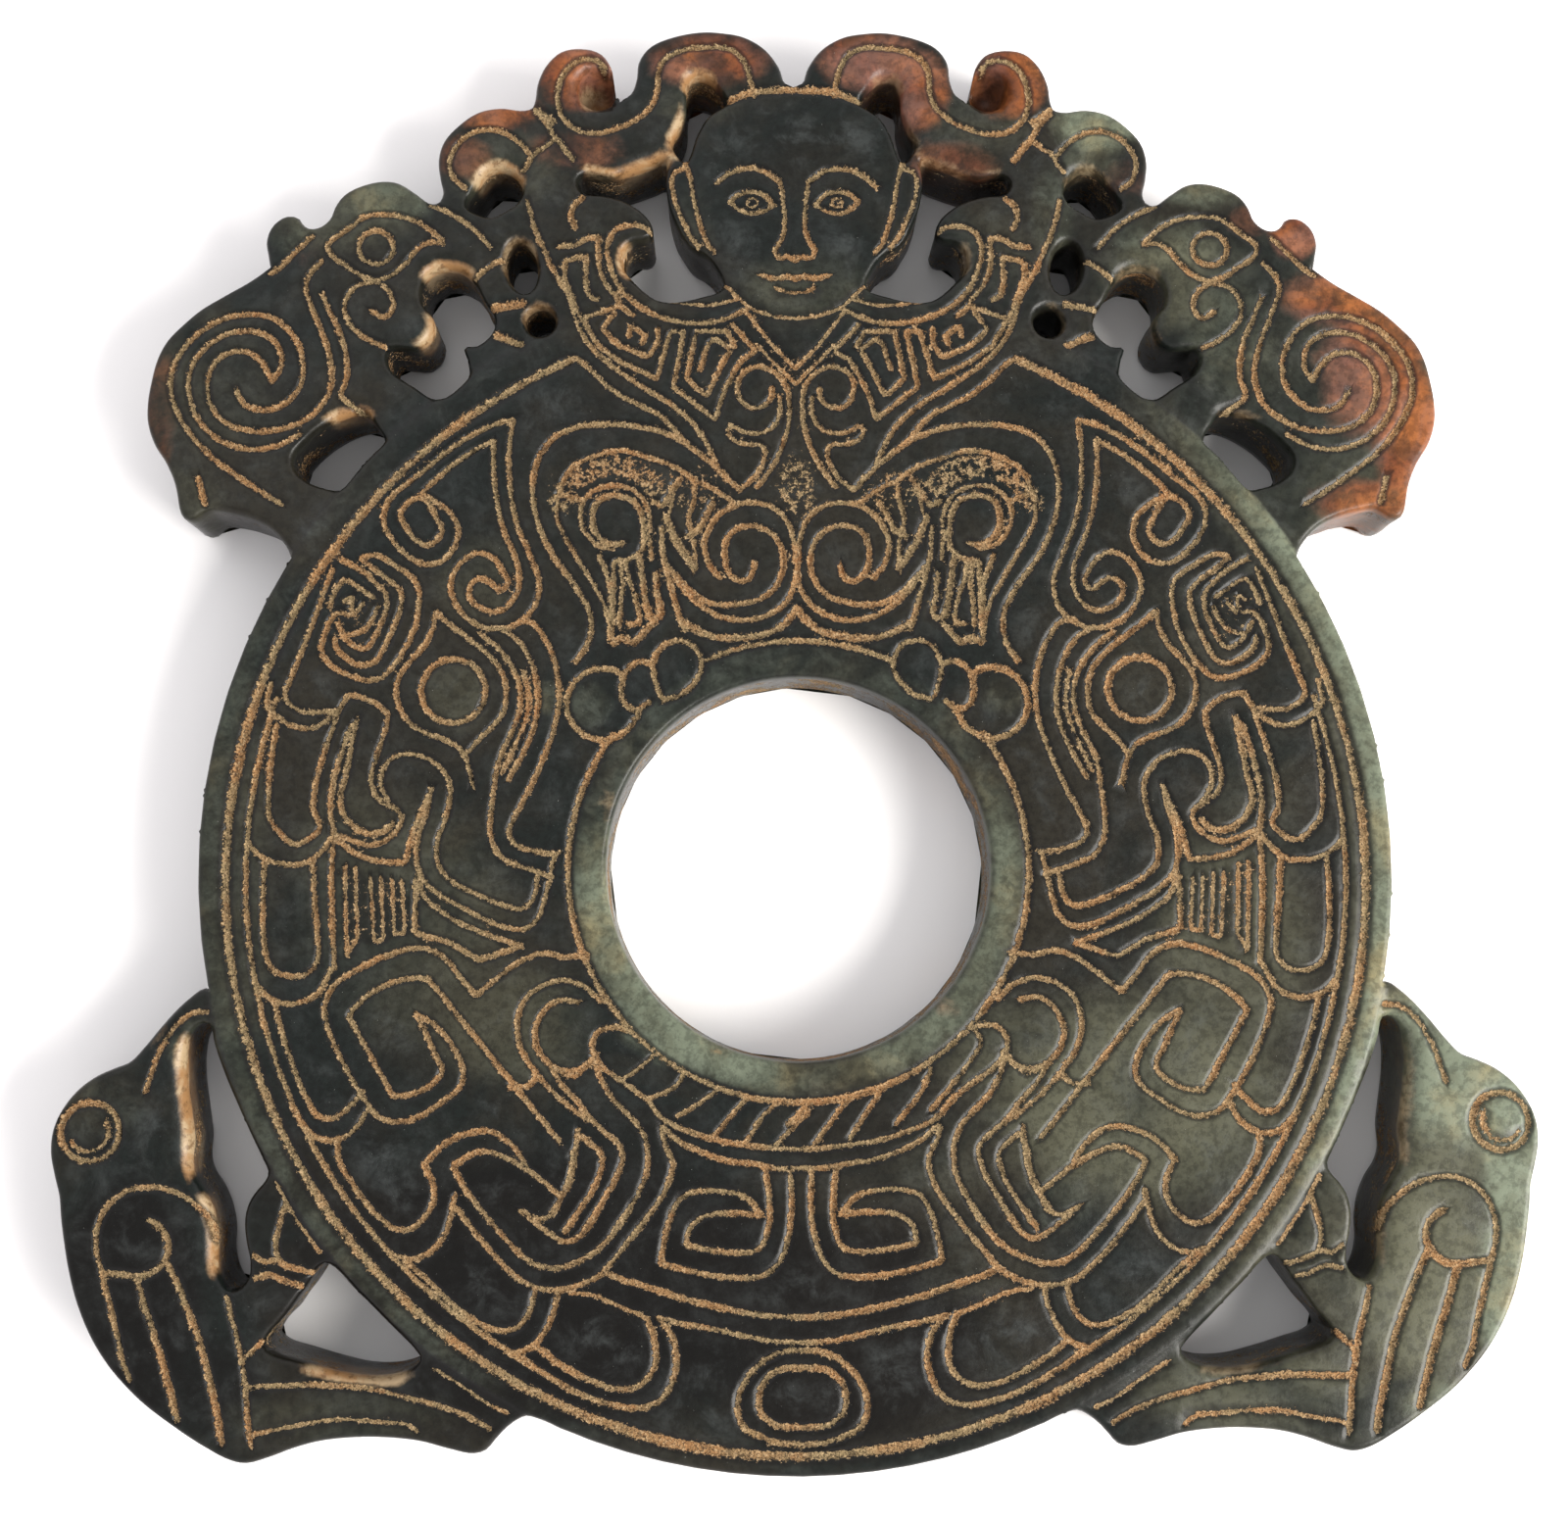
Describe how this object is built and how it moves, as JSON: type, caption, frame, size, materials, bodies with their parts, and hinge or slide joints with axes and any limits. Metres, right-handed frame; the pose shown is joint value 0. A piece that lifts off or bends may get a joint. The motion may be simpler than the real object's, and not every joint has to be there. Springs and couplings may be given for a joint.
{
  "type": "bi disc",
  "caption": "Flat carved stone disc with a round central hole, framed by openwork scrolls, paired beasts and long-tailed birds, incised all over its face.",
  "frame": {"origin": "middle of the bounding box on the flat underside", "axes": "+Z out of the carved face, +Y towards the figure's head, X across the mirror line"},
  "size_m": [0.1964, 0.1962, 0.013],
  "materials": {
    "jade": "softly polished dark green stone with ochre residue in the cut lines"
  },
  "bodies": {
    "root": {"jade_bi_disc": "jade"}
  },
  "joints": []
}
